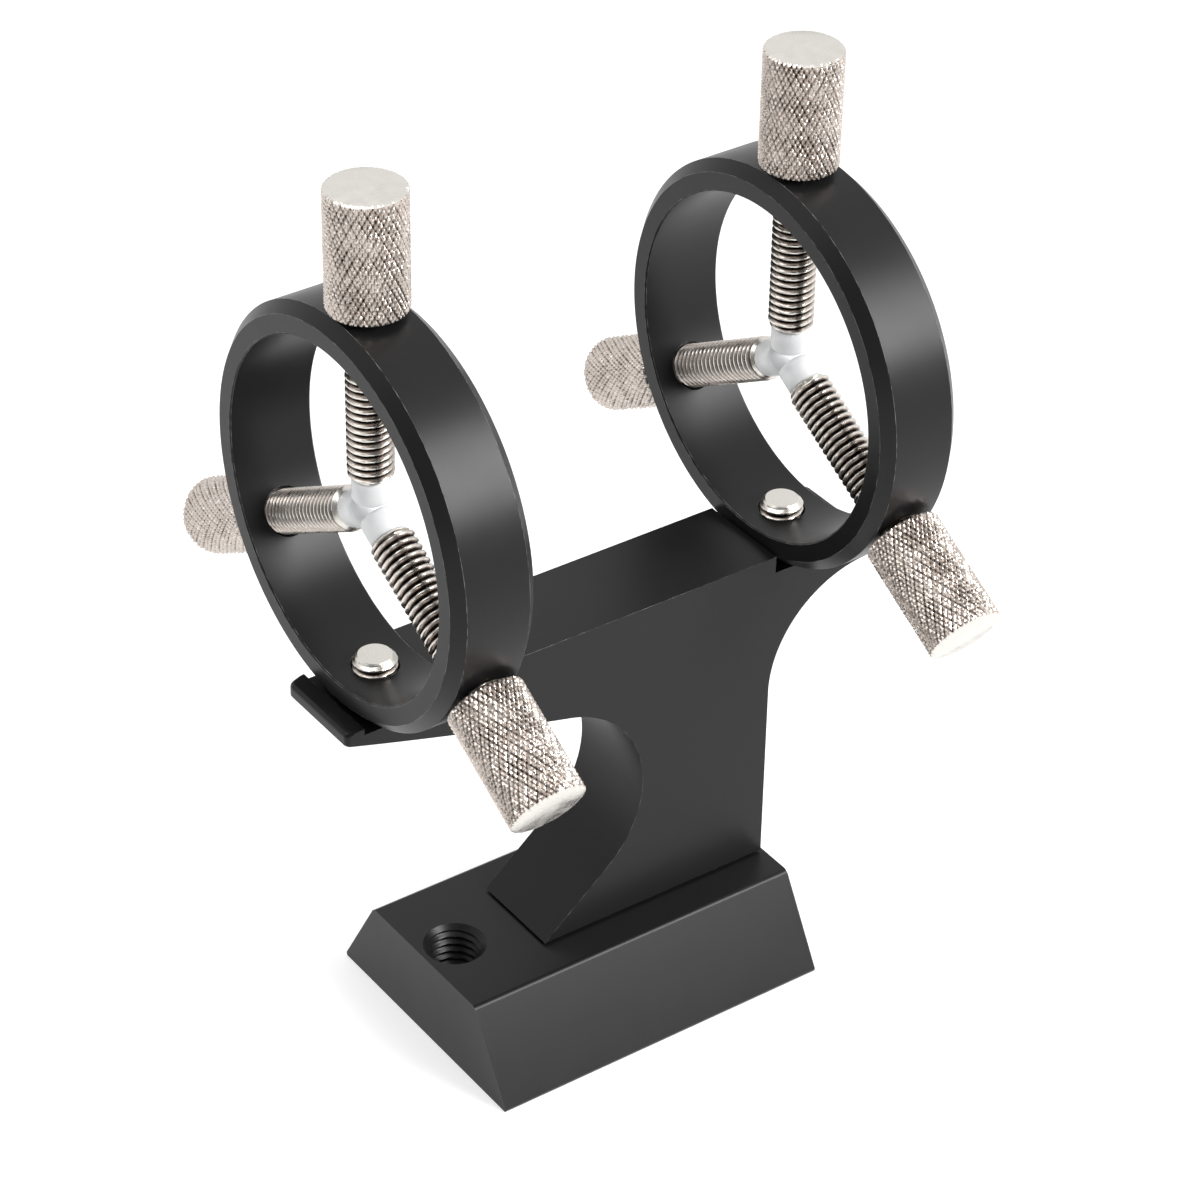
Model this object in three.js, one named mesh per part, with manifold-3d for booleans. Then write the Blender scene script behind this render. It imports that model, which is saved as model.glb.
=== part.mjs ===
// Twin-ring bracket for a small sighting tube or pointer: a dovetail foot, a plate arm,
// two rings bolted into slots of the arm, and three nylon-tipped thumbscrews per ring.
// Millimetres, +Z up, +Y along the ring axis, origin at the bottom centre of the foot.
import * as THREE from 'three';
import { mergeVertices } from 'three/addons/utils/BufferGeometryUtils.js';
import Module from 'manifold-3d';

const wasm = await Module();
wasm.setup();

// Dovetail foot
const FOOT_BOTTOM_WIDTH = 32.3;
const FOOT_TOP_WIDTH = 20;
const FOOT_LENGTH = 41.8;
const FOOT_HEIGHT = 10.6;
const FOOT_EDGE_CHAMFER = 0.35;
const FOOT_END_CHAMFER = 0.2;
const STOP_HOLE_Y = -16.8;
const STOP_HOLE_RADIUS = 2.65;
const STOP_HOLE_RIM_RADIUS = 3.5;

// Plate arm, as a profile in the YZ plane
const ARM_WIDTH = 11.5;
const ARM_CHAMFER = 0.25;
const ARM_END_Y = 33.4;
const ARM_TOP_Z = 50.35;
const ARM_TOE_Y = -8.9;
const ARM_BACK_Y = 20.45;
const LIP_TOP_Z = 49.05;
const TIP_UNDERSIDE_Z = 47.65;
const SLOT_FLOOR_Z = 48.3;
const SLOT_WIDTH = 10;
const CUT_CENTRE = new THREE.Vector2(-9.04, 27.56);
const CUT_RADIUS = 12.8;
const CUT_START_DEG = -48.5;
const CUT_END_DEG = 76;
const BEAM_CONTROL = new THREE.Vector2(-19.6, 43.4);
const BACK_ARC_RADIUS = 13.2;
const BACK_ARC_Z = 32.7;

// Rings
const RING_OUTER_RADIUS = 22.45;
const RING_BORE_RADIUS = 19.2;
const RING_WIDTH = 9.6;
const RING_OUTER_CHAMFER = 1.2;
const RING_BORE_CHAMFER = 0.15;
const RING_SEAT_GAP = 0.02;
const RING_AXIS_Z = SLOT_FLOOR_Z + RING_OUTER_RADIUS + RING_SEAT_GAP;
const RINGS = [
  { name: 'front', y: -26.25 },
  { name: 'rear', y: 25.65 },
];
const RING_SEGMENTS = 72;

// Thumbscrews, measured outwards from the ring axis
const THUMBSCREWS = [
  { name: 'top', angleDeg: 90 },
  { name: 'left', angleDeg: 210 },
  { name: 'right', angleDeg: 330 },
];
const SHANK_RADIUS = 2.4;
const SHANK_START = 3.8;
const SHANK_END_CHAMFER = 0.4;
const HEAD_START = 22.9;
const HEAD_END = 35.9;
const HEAD_RADIUS = 4.25;
const HEAD_CHAMFER = 0.5;
const THREADED_HOLE_RADIUS = 2.65;
const TIP_SOCKET_RADIUS = 1.35;
const TIP_SOCKET_DEPTH = 3.4;

// Nylon tips, measured outwards from the ring axis
const TIP_START = 1;
const TIP_SHOULDER = 3.6;
const TIP_RADIUS = 2;
const TIP_CHAMFER = 0.5;
const TIP_STEM_RADIUS = 1.1;
const TIP_STEM_END = 6.9;

// Countersunk screws that hold the rings, pointing up through the arm
const RING_SCREW_RADIUS = 2.4;
const RING_SCREW_BOTTOM_Z = 45.7;
const RING_SCREW_HEAD_RADIUS = 4.3;
const RING_SCREW_HEAD_LAND = 0.2;
const RING_SCREW_STAND_OUT = 1.4;
const RING_SCREW_POINT_RADIUS = 1.75;
const RING_SCREW_POINT_CHAMFER = 0.5;
const SCREW_GAP = 0.3;

// Socket screws that hold the arm, pointing up through the foot
const FOOT_SCREW_Y = [5.5, 15.3];
const FOOT_SCREW_RADIUS = 1.9;
const FOOT_SCREW_HEAD_RADIUS = 3.5;
const FOOT_SCREW_BOTTOM_Z = 0.5;
const FOOT_SCREW_HEAD_TOP_Z = 4.5;
const FOOT_SCREW_END_Z = 17.2;
const FOOT_SCREW_END_CHAMFER = 0.4;
const HEX_RADIUS = 1.7;
const HEX_DEPTH = 1.4;

const SCREW_SEGMENTS = 24;
const CUTTER_OVERRUN = 2;

const BLACK_ANODISED = { color: 0x2b2b2d, roughness: 0.5, metalness: 0.6 };
const NICKEL = { color: 0xc9c3ba, roughness: 0.35, metalness: 1 };
const NYLON = { color: 0xe9ebec, roughness: 0.45, metalness: 0 };
const BLACK_STEEL = { color: 0x1d1d1e, roughness: 0.45, metalness: 0.8 };

// A closed solid from a three.js geometry, with its shared vertices merged.
function solid(geometry) {
  const bare = geometry.clone();
  bare.deleteAttribute('normal');
  bare.deleteAttribute('uv');
  const merged = mergeVertices(bare);
  const index = merged.index.array;
  const triVerts = [];
  for (let i = 0; i < index.length; i += 3) {
    const [a, b, c] = [index[i], index[i + 1], index[i + 2]];
    if (a !== b && b !== c && c !== a) {
      triVerts.push(a, b, c);
    }
  }
  const mesh = new wasm.Mesh({
    numProp: 3,
    vertProperties: new Float32Array(merged.attributes.position.array),
    triVerts: new Uint32Array(triVerts),
  });
  return new wasm.Manifold(mesh);
}

// The three.js geometry of a solid.
function geometryOf(body) {
  const mesh = body.getMesh();
  const geometry = new THREE.BufferGeometry();
  geometry.setAttribute('position', new THREE.BufferAttribute(new Float32Array(mesh.vertProperties), 3));
  geometry.setIndex(new THREE.BufferAttribute(new Uint32Array(mesh.triVerts), 1));
  geometry.computeVertexNormals();
  return geometry;
}

function cut(geometry, cutters) {
  let body = solid(geometry);
  for (const cutter of cutters) {
    body = body.subtract(solid(cutter));
  }
  return geometryOf(body);
}

// A turned solid about local +Y, from (radius, height) pairs listed from low to high.
function turned(profile, segments = SCREW_SEGMENTS) {
  const points = profile.map(([radius, height]) => new THREE.Vector2(radius, height));
  return new THREE.LatheGeometry(points, segments);
}

// The same, stood up so that its axis is +Z.
function turnedUpright(profile, segments = SCREW_SEGMENTS) {
  return turned(profile, segments).rotateX(Math.PI / 2);
}

// A cylinder along +Z between two heights at (0, y).
function uprightCylinder(radius, y, bottom, top, segments = SCREW_SEGMENTS) {
  const geometry = new THREE.CylinderGeometry(radius, radius, top - bottom, segments);
  return geometry.rotateX(Math.PI / 2).translate(0, y, (top + bottom) / 2);
}

// The turn that points local +Y outwards from the ring axis at an angle in the XZ plane.
function radialTurn(angleDeg) {
  const angle = THREE.MathUtils.degToRad(angleDeg);
  const outwards = new THREE.Vector3(Math.cos(angle), 0, Math.sin(angle));
  return new THREE.Quaternion().setFromUnitVectors(new THREE.Vector3(0, 1, 0), outwards);
}

function piece(name, geometry, look) {
  const mesh = new THREE.Mesh(geometry, new THREE.MeshStandardMaterial(look));
  mesh.name = name;
  return mesh;
}

// The foot's cross-section in the XZ plane, with its long edges broken.
function footSection() {
  const low = FOOT_BOTTOM_WIDTH / 2;
  const high = FOOT_TOP_WIDTH / 2;
  const slope = (low - high) / FOOT_HEIGHT;
  const edge = FOOT_EDGE_CHAMFER;
  const shape = new THREE.Shape();
  shape.moveTo(-low + edge, 0);
  shape.lineTo(low - edge, 0);
  shape.lineTo(low - edge * slope, edge);
  shape.lineTo(high + edge * slope, FOOT_HEIGHT - edge);
  shape.lineTo(high - edge, FOOT_HEIGHT);
  shape.lineTo(-high + edge, FOOT_HEIGHT);
  shape.lineTo(-high - edge * slope, FOOT_HEIGHT - edge);
  shape.lineTo(-low + edge * slope, edge);
  return shape;
}

// Countersunk through hole for a stop screw.
function stopHole() {
  const lead = STOP_HOLE_RIM_RADIUS - STOP_HOLE_RADIUS;
  const over = CUTTER_OVERRUN;
  return turnedUpright([
    [0, -over],
    [STOP_HOLE_RIM_RADIUS + over, -over],
    [STOP_HOLE_RADIUS, lead],
    [STOP_HOLE_RADIUS, FOOT_HEIGHT - lead],
    [STOP_HOLE_RIM_RADIUS + over, FOOT_HEIGHT + over],
    [0, FOOT_HEIGHT + over],
  ]).translate(0, STOP_HOLE_Y, 0);
}

function foot() {
  const blank = new THREE.ExtrudeGeometry(footSection(), {
    depth: FOOT_LENGTH - 2 * FOOT_END_CHAMFER,
    bevelEnabled: true,
    bevelThickness: FOOT_END_CHAMFER,
    bevelSize: FOOT_END_CHAMFER,
    bevelOffset: -FOOT_END_CHAMFER,
    bevelSegments: 1,
  });
  blank.translate(0, 0, FOOT_END_CHAMFER - FOOT_LENGTH / 2).rotateX(Math.PI / 2);
  const cutters = [stopHole()];
  for (const y of FOOT_SCREW_Y) {
    const boreTop = FOOT_SCREW_HEAD_TOP_Z + SCREW_GAP;
    cutters.push(uprightCylinder(FOOT_SCREW_HEAD_RADIUS + SCREW_GAP, y, -CUTTER_OVERRUN, boreTop));
    cutters.push(uprightCylinder(FOOT_SCREW_RADIUS + SCREW_GAP, y, 0, FOOT_HEIGHT + CUTTER_OVERRUN));
  }
  return piece('dovetail_foot', cut(blank, cutters), BLACK_ANODISED);
}

// The arm's outline, with local X as world Y and local Y as world Z.
function armOutline() {
  const [front, rear] = RINGS.map((ring) => ring.y);
  const half = SLOT_WIDTH / 2;
  const backArcY = ARM_BACK_Y + BACK_ARC_RADIUS;
  const backArcReach = backArcY - ARM_END_Y;
  const shape = new THREE.Shape();
  shape.moveTo(ARM_TOE_Y, FOOT_HEIGHT);
  shape.lineTo(ARM_BACK_Y, FOOT_HEIGHT);
  shape.lineTo(ARM_BACK_Y, BACK_ARC_Z);
  shape.absarc(backArcY, BACK_ARC_Z, BACK_ARC_RADIUS, Math.PI, Math.acos(-backArcReach / BACK_ARC_RADIUS), true);
  shape.lineTo(ARM_END_Y, LIP_TOP_Z);
  shape.lineTo(rear + half, LIP_TOP_Z);
  shape.lineTo(rear + half, SLOT_FLOOR_Z);
  shape.lineTo(rear - half, SLOT_FLOOR_Z);
  shape.lineTo(rear - half, ARM_TOP_Z);
  shape.lineTo(front + half, ARM_TOP_Z);
  shape.lineTo(front + half, SLOT_FLOOR_Z);
  shape.lineTo(front - half, SLOT_FLOOR_Z);
  shape.lineTo(front - half, LIP_TOP_Z);
  shape.lineTo(-ARM_END_Y, LIP_TOP_Z);
  shape.lineTo(-ARM_END_Y, TIP_UNDERSIDE_Z);
  const end = THREE.MathUtils.degToRad(CUT_END_DEG);
  const start = THREE.MathUtils.degToRad(CUT_START_DEG);
  const arcEndY = CUT_CENTRE.x + CUT_RADIUS * Math.cos(end);
  const arcEndZ = CUT_CENTRE.y + CUT_RADIUS * Math.sin(end);
  shape.quadraticCurveTo(BEAM_CONTROL.x, BEAM_CONTROL.y, arcEndY, arcEndZ);
  shape.absarc(CUT_CENTRE.x, CUT_CENTRE.y, CUT_RADIUS, end, start, true);
  return shape;
}

// Clearance hole, cone and head pocket for one ring screw, cut from below.
function ringScrewHole(y) {
  const headRadius = RING_SCREW_HEAD_RADIUS + SCREW_GAP;
  const holeRadius = RING_SCREW_RADIUS + SCREW_GAP;
  const coneBottom = RING_SCREW_BOTTOM_Z + RING_SCREW_HEAD_LAND;
  return turnedUpright([
    [0, RING_SCREW_BOTTOM_Z - BACK_ARC_RADIUS],
    [headRadius, RING_SCREW_BOTTOM_Z - BACK_ARC_RADIUS],
    [headRadius, coneBottom],
    [holeRadius, coneBottom + headRadius - holeRadius],
    [holeRadius, SLOT_FLOOR_Z + CUTTER_OVERRUN],
    [0, SLOT_FLOOR_Z + CUTTER_OVERRUN],
  ]).translate(0, y, 0);
}

function arm() {
  const blank = new THREE.ExtrudeGeometry(armOutline(), {
    depth: ARM_WIDTH - 2 * ARM_CHAMFER,
    bevelEnabled: true,
    bevelThickness: ARM_CHAMFER,
    bevelSize: ARM_CHAMFER,
    bevelOffset: -ARM_CHAMFER,
    bevelSegments: 1,
    curveSegments: 16,
  });
  blank.translate(0, 0, ARM_CHAMFER - ARM_WIDTH / 2);
  const axes = new THREE.Matrix4().makeBasis(
    new THREE.Vector3(0, 1, 0),
    new THREE.Vector3(0, 0, 1),
    new THREE.Vector3(1, 0, 0),
  );
  blank.applyMatrix4(axes);
  const cutters = RINGS.map((ring) => ringScrewHole(ring.y));
  for (const y of FOOT_SCREW_Y) {
    const holeEnd = FOOT_SCREW_END_Z + SCREW_GAP;
    cutters.push(uprightCylinder(FOOT_SCREW_RADIUS + SCREW_GAP, y, FOOT_HEIGHT - CUTTER_OVERRUN, holeEnd));
  }
  return piece('arm', cut(blank, cutters), BLACK_ANODISED);
}

// One ring about its own centre, with three threaded holes and the seat hole.
function ringGeometry() {
  const half = RING_WIDTH / 2;
  const edge = RING_BORE_CHAMFER;
  const bevel = RING_OUTER_CHAMFER;
  const loop = [
    [RING_BORE_RADIUS, -half + edge],
    [RING_BORE_RADIUS + edge, -half],
    [RING_OUTER_RADIUS - bevel, -half],
    [RING_OUTER_RADIUS, -half + bevel],
    [RING_OUTER_RADIUS, half - bevel],
    [RING_OUTER_RADIUS - bevel, half],
    [RING_BORE_RADIUS + edge, half],
    [RING_BORE_RADIUS, half - edge],
    [RING_BORE_RADIUS, -half + edge],
  ];
  const cutterLength = RING_OUTER_RADIUS - RING_BORE_RADIUS + 2 * CUTTER_OVERRUN;
  const cutterCentre = (RING_OUTER_RADIUS + RING_BORE_RADIUS) / 2;
  const angles = THUMBSCREWS.map((screw) => screw.angleDeg).concat(270);
  const cutters = angles.map((angleDeg) => {
    const hole = new THREE.CylinderGeometry(
      THREADED_HOLE_RADIUS, THREADED_HOLE_RADIUS, cutterLength, SCREW_SEGMENTS);
    return hole.translate(0, cutterCentre, 0).applyQuaternion(radialTurn(angleDeg));
  });
  return cut(turned(loop, RING_SEGMENTS), cutters);
}

// One thumbscrew along local +Y, with the blind socket for its tip.
function thumbscrewGeometry() {
  const bevel = HEAD_CHAMFER;
  const blank = turned([
    [0, SHANK_START],
    [SHANK_RADIUS - SHANK_END_CHAMFER, SHANK_START],
    [SHANK_RADIUS, SHANK_START + SHANK_END_CHAMFER],
    [SHANK_RADIUS, HEAD_START],
    [HEAD_RADIUS - bevel, HEAD_START],
    [HEAD_RADIUS, HEAD_START + bevel],
    [HEAD_RADIUS, HEAD_END - bevel],
    [HEAD_RADIUS - bevel, HEAD_END],
    [0, HEAD_END],
  ]);
  const length = TIP_SOCKET_DEPTH + CUTTER_OVERRUN;
  const socket = new THREE.CylinderGeometry(TIP_SOCKET_RADIUS, TIP_SOCKET_RADIUS, length, SCREW_SEGMENTS);
  socket.translate(0, SHANK_START + TIP_SOCKET_DEPTH - length / 2, 0);
  return cut(blank, [socket]);
}

// One nylon tip along local +Y: a chamfered pad with a stem.
function tipGeometry() {
  return turned([
    [0, TIP_START],
    [TIP_RADIUS - TIP_CHAMFER, TIP_START],
    [TIP_RADIUS, TIP_START + TIP_CHAMFER],
    [TIP_RADIUS, TIP_SHOULDER],
    [TIP_STEM_RADIUS, TIP_SHOULDER],
    [TIP_STEM_RADIUS, TIP_STEM_END],
    [0, TIP_STEM_END],
  ]);
}

function ringScrew(ring) {
  const coneBottom = RING_SCREW_BOTTOM_Z + RING_SCREW_HEAD_LAND;
  const coneTop = coneBottom + RING_SCREW_HEAD_RADIUS - RING_SCREW_RADIUS;
  const end = RING_AXIS_Z - RING_BORE_RADIUS + RING_SCREW_STAND_OUT;
  const blank = turnedUpright([
    [0, RING_SCREW_BOTTOM_Z],
    [RING_SCREW_HEAD_RADIUS, RING_SCREW_BOTTOM_Z],
    [RING_SCREW_HEAD_RADIUS, coneBottom],
    [RING_SCREW_RADIUS, coneTop],
    [RING_SCREW_RADIUS, end - RING_SCREW_POINT_CHAMFER],
    [RING_SCREW_POINT_RADIUS, end],
    [0, end],
  ]);
  const socket = uprightCylinder(
    HEX_RADIUS, 0, RING_SCREW_BOTTOM_Z - CUTTER_OVERRUN, RING_SCREW_BOTTOM_Z + HEX_DEPTH, 6);
  const mesh = piece(`${ring.name}_ring_screw`, cut(blank, [socket]), NICKEL);
  mesh.position.y = ring.y;
  return mesh;
}

function footScrew(name, y) {
  const blank = turnedUpright([
    [0, FOOT_SCREW_BOTTOM_Z],
    [FOOT_SCREW_HEAD_RADIUS, FOOT_SCREW_BOTTOM_Z],
    [FOOT_SCREW_HEAD_RADIUS, FOOT_SCREW_HEAD_TOP_Z],
    [FOOT_SCREW_RADIUS, FOOT_SCREW_HEAD_TOP_Z],
    [FOOT_SCREW_RADIUS, FOOT_SCREW_END_Z - FOOT_SCREW_END_CHAMFER],
    [FOOT_SCREW_RADIUS - FOOT_SCREW_END_CHAMFER, FOOT_SCREW_END_Z],
    [0, FOOT_SCREW_END_Z],
  ]);
  const socket = uprightCylinder(
    HEX_RADIUS, 0, FOOT_SCREW_BOTTOM_Z - CUTTER_OVERRUN, FOOT_SCREW_BOTTOM_Z + HEX_DEPTH, 6);
  const mesh = piece(name, cut(blank, [socket]), BLACK_STEEL);
  mesh.position.y = y;
  return mesh;
}

// One ring with its thumbscrews and tips, centred on the ring.
function ringAssembly(ring) {
  const group = new THREE.Group();
  group.position.set(0, ring.y, RING_AXIS_Z);
  group.add(piece(`${ring.name}_ring`, ringGeometry(), BLACK_ANODISED));
  for (const screw of THUMBSCREWS) {
    const turn = radialTurn(screw.angleDeg);
    const thumbscrew = piece(`${ring.name}_thumbscrew_${screw.name}`, thumbscrewGeometry(), NICKEL);
    const tip = piece(`${ring.name}_tip_${screw.name}`, tipGeometry(), NYLON);
    thumbscrew.quaternion.copy(turn);
    tip.quaternion.copy(turn);
    group.add(thumbscrew, tip);
  }
  return group;
}

const bracket = new THREE.Group();
bracket.add(foot(), arm());
for (const ring of RINGS) {
  bracket.add(ringAssembly(ring), ringScrew(ring));
}
bracket.add(footScrew('foot_screw_front', FOOT_SCREW_Y[0]));
bracket.add(footScrew('foot_screw_rear', FOOT_SCREW_Y[1]));

export default bracket;
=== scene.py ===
"""Twin-ring bracket for a small sighting tube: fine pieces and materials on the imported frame."""
import math

import bmesh
import bpy
from mathutils import Matrix, Vector


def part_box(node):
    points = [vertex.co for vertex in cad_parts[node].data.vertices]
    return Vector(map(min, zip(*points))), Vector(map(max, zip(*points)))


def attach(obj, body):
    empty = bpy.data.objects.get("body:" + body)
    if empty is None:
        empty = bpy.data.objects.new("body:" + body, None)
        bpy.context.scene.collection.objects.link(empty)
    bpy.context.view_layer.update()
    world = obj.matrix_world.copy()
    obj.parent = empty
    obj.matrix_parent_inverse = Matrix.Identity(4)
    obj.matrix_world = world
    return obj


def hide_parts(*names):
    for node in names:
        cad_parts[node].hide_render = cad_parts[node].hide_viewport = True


MM = 0.001

# Camera, in degrees and millimetres
CAMERA_AZIMUTH = 54.166
CAMERA_ELEVATION = 34.651
CAMERA_ROLL = 1.086
CAMERA_DISTANCE = 415.87
CAMERA_TARGET = Vector((0, 1.752, 48.791))
CAMERA_LENS = 118.433
SENSOR = 36

# The unlit side of the room: its direction, its brightness and how far its core and edge spread in degrees
DARK_SIDE = (0.52, -0.70, 0.5)
DARK_SIDE_LEVEL = 0.25
DARK_SIDE_CORE = 20
DARK_SIDE_EDGE = 55

# Softboxes: place in metres, height aimed at, width and height, watts and spread in degrees
SOFTBOXES = {
    "right_softbox": ((0.34, 0.21, 0.35), 0.12, (0.22, 0.36), 0.7, 70),
    "top_softbox": ((-0.16, -0.24, 0.85), 0.05, (0.6, 0.6), 2.2, 180),
}

# Floor
FLOOR_HALF = 4000
FLOOR_THICKNESS = 40
FLOOR_GLOW = 0.57

# Dovetail foot
FOOT_BOTTOM_WIDTH = 32.3
FOOT_TOP_WIDTH = 20
FOOT_LENGTH = 41.8
FOOT_HEIGHT = 10.6
FOOT_EDGE = 0.35
FOOT_SOFTENING = 0.1
STOP_HOLE_Y = -16.8
STOP_HOLE_MINOR = 2.6
STOP_HOLE_MAJOR = 3.02
STOP_HOLE_PITCH = 1.0
STOP_HOLE_RIM = 3.5
SCREW_CLEARANCE = 0.2

# Plate arm, as a profile in the YZ plane
ARM_WIDTH = 11.5
ARM_EDGE = 0.25
ARM_END_Y = 33.4
ARM_TOP_Z = 50.35
ARM_TOE_Y = -8.9
ARM_BACK_Y = 20.45
LIP_TOP_Z = 49.05
TIP_UNDERSIDE_Z = 47.65
SLOT_FLOOR_Z = 48.3
SLOT_WIDTH = 10
POCKET_CLEARANCE = 0.15
POCKET_LAND = 0.3
SEAT_GAP = 0.3
SEAT_INSET = 0.6
CUT_CENTRE = (-9.04, 27.56)
CUT_RADIUS = 12.8
CUT_START = -48.5
CUT_END = 76
BEAM_CONTROL = (-19.6, 43.4)
BACK_ARC_RADIUS = 13.2
BACK_ARC_Z = 32.7
LIP_FAR_CORNER = 1.1
LIP_NEAR_CORNER = 0.55
LIP_TOP_ROUND = 0.5

# Rings
RING_BORE_RADIUS = 19.2
RING_OUTER_CHAMFER = 1.2
RING_BORE_CHAMFER = 0.15
RING_SOFTENING = 0.07
RING_STEPS = 192
THREAD_CLEARANCE = 0.04
BORE_MOUTH = 0.3
OUTER_MOUTH = 0.4

# Thumbscrews and tips, measured outwards from the ring axis
THUMBSCREWS = {"top": 90, "left": 210, "right": 330}
SHANK_RADIUS = 2.4
THREAD_DEPTH = 0.44
THREAD_PITCH = 0.8
SHANK_START = 3.8
HEAD_START = 22.9
HEAD_END = 35.9
HEAD_RADIUS = 4.25
HEAD_ROUND = 0.45
KNURL_COUNT = 24
KNURL_HEIGHT = 1.95
KNURL_DEPTH = 0.36
KNURL_GROOVE = 0.27
FINE_GROOVE = 0.23
FINE_DEPTH = 0.85
KNURL_STEPS = 16
TIP_START = 1
TIP_SHOULDER = 3.72
TIP_RADIUS = 2
TIP_CHAMFER = 0.5

# Screws that hold the rings, pointing up through the arm
RING_SCREW_RADIUS = 2.35
RING_SCREW_BOTTOM_Z = 45.7
RING_SCREW_HEAD_RADIUS = 4.3
RING_SCREW_STAND_OUT = 1.4
RING_SCREW_POINT_RADIUS = 1.8

# Socket screws that hold the arm, pointing up through the foot
FOOT_SCREWS = {"front": 5.5, "rear": 15.3}
FOOT_SCREW_RADIUS = 1.9
FOOT_SCREW_THREAD = 0.35
FOOT_SCREW_PITCH = 0.7
FOOT_SCREW_HEAD_RADIUS = 3.5
FOOT_SCREW_BOTTOM_Z = 0.5
FOOT_SCREW_HEAD_TOP_Z = 4.5
FOOT_SCREW_END_Z = 17.2
HEX_RADIUS = 1.7
HEX_DEPTH = 1.4


# ---------------------------------------------------------------- node helpers

def new_material(name):
    """A new material, its node tree and its shader."""
    material = bpy.data.materials.new(name)
    material.use_nodes = True
    return material, material.node_tree, material.node_tree.nodes["Principled BSDF"]


def noise(tree, scale, detail=3.0, roughness=0.55):
    """A noise value in object space; scale is in features per metre."""
    coords = tree.nodes.new("ShaderNodeTexCoord")
    texture = tree.nodes.new("ShaderNodeTexNoise")
    texture.inputs["Scale"].default_value = scale
    texture.inputs["Detail"].default_value = detail
    texture.inputs["Roughness"].default_value = roughness
    tree.links.new(coords.outputs["Object"], texture.inputs["Vector"])
    return texture.outputs["Fac"]


def spread(tree, value, low, high, start=0.0, end=1.0):
    """Maps a value from start..end to low..high."""
    node = tree.nodes.new("ShaderNodeMapRange")
    node.inputs["From Min"].default_value = start
    node.inputs["From Max"].default_value = end
    node.inputs["To Min"].default_value = low
    node.inputs["To Max"].default_value = high
    tree.links.new(value, node.inputs["Value"])
    return node.outputs["Result"]


def blend_colours(tree, factor, first, second):
    """A colour between two others, each a tuple or a socket."""
    node = tree.nodes.new("ShaderNodeMix")
    node.data_type = "RGBA"
    tree.links.new(factor, node.inputs["Factor"])
    for socket, colour in ((node.inputs[6], first), (node.inputs[7], second)):
        if isinstance(colour, tuple):
            socket.default_value = (*colour, 1)
        else:
            tree.links.new(colour, socket)
    return node.outputs[2]


def bumps(tree, shader, layers):
    """Stacks bump layers given as (value, strength, distance in millimetres)."""
    normal = None
    for value, strength, distance in layers:
        node = tree.nodes.new("ShaderNodeBump")
        node.inputs["Strength"].default_value = strength
        node.inputs["Distance"].default_value = distance * MM
        tree.links.new(value, node.inputs["Height"])
        if normal:
            tree.links.new(normal, node.inputs["Normal"])
        normal = node.outputs["Normal"]
    tree.links.new(normal, shader.inputs["Normal"])


def edge_mask(tree, start, end):
    """1 on worn outer edges and 0 on flat ground."""
    geometry = tree.nodes.new("ShaderNodeNewGeometry")
    return spread(tree, geometry.outputs["Pointiness"], 0, 1, start, end)


def multiplied(tree, first, second):
    """The product of two values."""
    node = tree.nodes.new("ShaderNodeMath")
    node.operation = "MULTIPLY"
    tree.links.new(first, node.inputs[0])
    tree.links.new(second, node.inputs[1])
    return node.outputs["Value"]


def attribute(tree, name):
    """A value stored on the mesh."""
    node = tree.nodes.new("ShaderNodeAttribute")
    node.attribute_name = name
    return node.outputs["Fac"]


# ---------------------------------------------------------------- materials

def black_anodised():
    """Satin black anodising: a fine blasted grain, faint mottling and rounded edges painted a little
    lighter, partly as wear and partly as a painted highlight.
    """
    material, tree, shader = new_material("black_anodised")
    mottle = noise(tree, 260, 4)
    grain = noise(tree, 5200, 2, 0.6)
    ground = blend_colours(tree, mottle, (0.006, 0.0058, 0.0061), (0.0072, 0.0069, 0.0071))
    patchy = spread(tree, noise(tree, 900, 3), 0, 1, 0.4, 0.65)
    # Rounded edges painted lighter in patches: partly wear, partly a painted highlight along the edge.
    worn = multiplied(tree, attribute(tree, "wear_and_highlight"), patchy)
    colour = blend_colours(tree, worn, ground, (0.24, 0.232, 0.23))
    tree.links.new(colour, shader.inputs["Base Color"])
    tree.links.new(spread(tree, mottle, 0.33, 0.365, 0.3, 0.7), shader.inputs["Roughness"])
    shader.inputs["Metallic"].default_value = 0.0
    shader.inputs["Specular IOR Level"].default_value = 0.23
    bumps(tree, shader, [(grain, 0.10, 0.02)])
    return material


def nickel():
    """Warm nickel plate: bright on its turned faces; the knurl and thread grooves are painted duller,
    browner and near black at their deepest, partly as dirt and partly as painted shade, and the knurl
    carries painted glints.
    """
    material, tree, shader = new_material("nickel")
    haze = noise(tree, 700, 4)
    scratches = noise(tree, 2600, 3, 0.7)
    clean = blend_colours(tree, haze, (0.66, 0.63, 0.585), (0.76, 0.735, 0.69))
    groove = attribute(tree, "groove")
    # Knurl and thread grooves painted darker and browner: partly a duller rolled surface, partly painted
    # shade.
    rolled = blend_colours(tree, spread(tree, groove, 0, 1, 0.0, 0.3), clean, (0.57, 0.50, 0.45))
    # Painted glints: bright flecks in the knurl that stand in for highlights on its facets.
    glint = spread(tree, noise(tree, 3300, 2, 0.7), 0, 0.9, 0.57, 0.66)
    glint = multiplied(tree, glint, spread(tree, groove, 0, 1, 0.0, 0.3))
    with_painted_glints = blend_colours(tree, glint, rolled, (0.86, 0.83, 0.79))
    # Deepest groove crossings and thread roots painted near black: painted shade, partly dirt.
    groove_dirt_and_shade = spread(tree, groove, 0, 1, 0.56, 0.86)
    colour = blend_colours(tree, groove_dirt_and_shade, with_painted_glints, (0.025, 0.019, 0.015))
    tree.links.new(colour, shader.inputs["Base Color"])
    tree.links.new(spread(tree, haze, 0.22, 0.36, 0.3, 0.7), shader.inputs["Roughness"])
    shader.inputs["Metallic"].default_value = 1.0
    bumps(tree, shader, [(scratches, 0.08, 0.02)])
    return material


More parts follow.
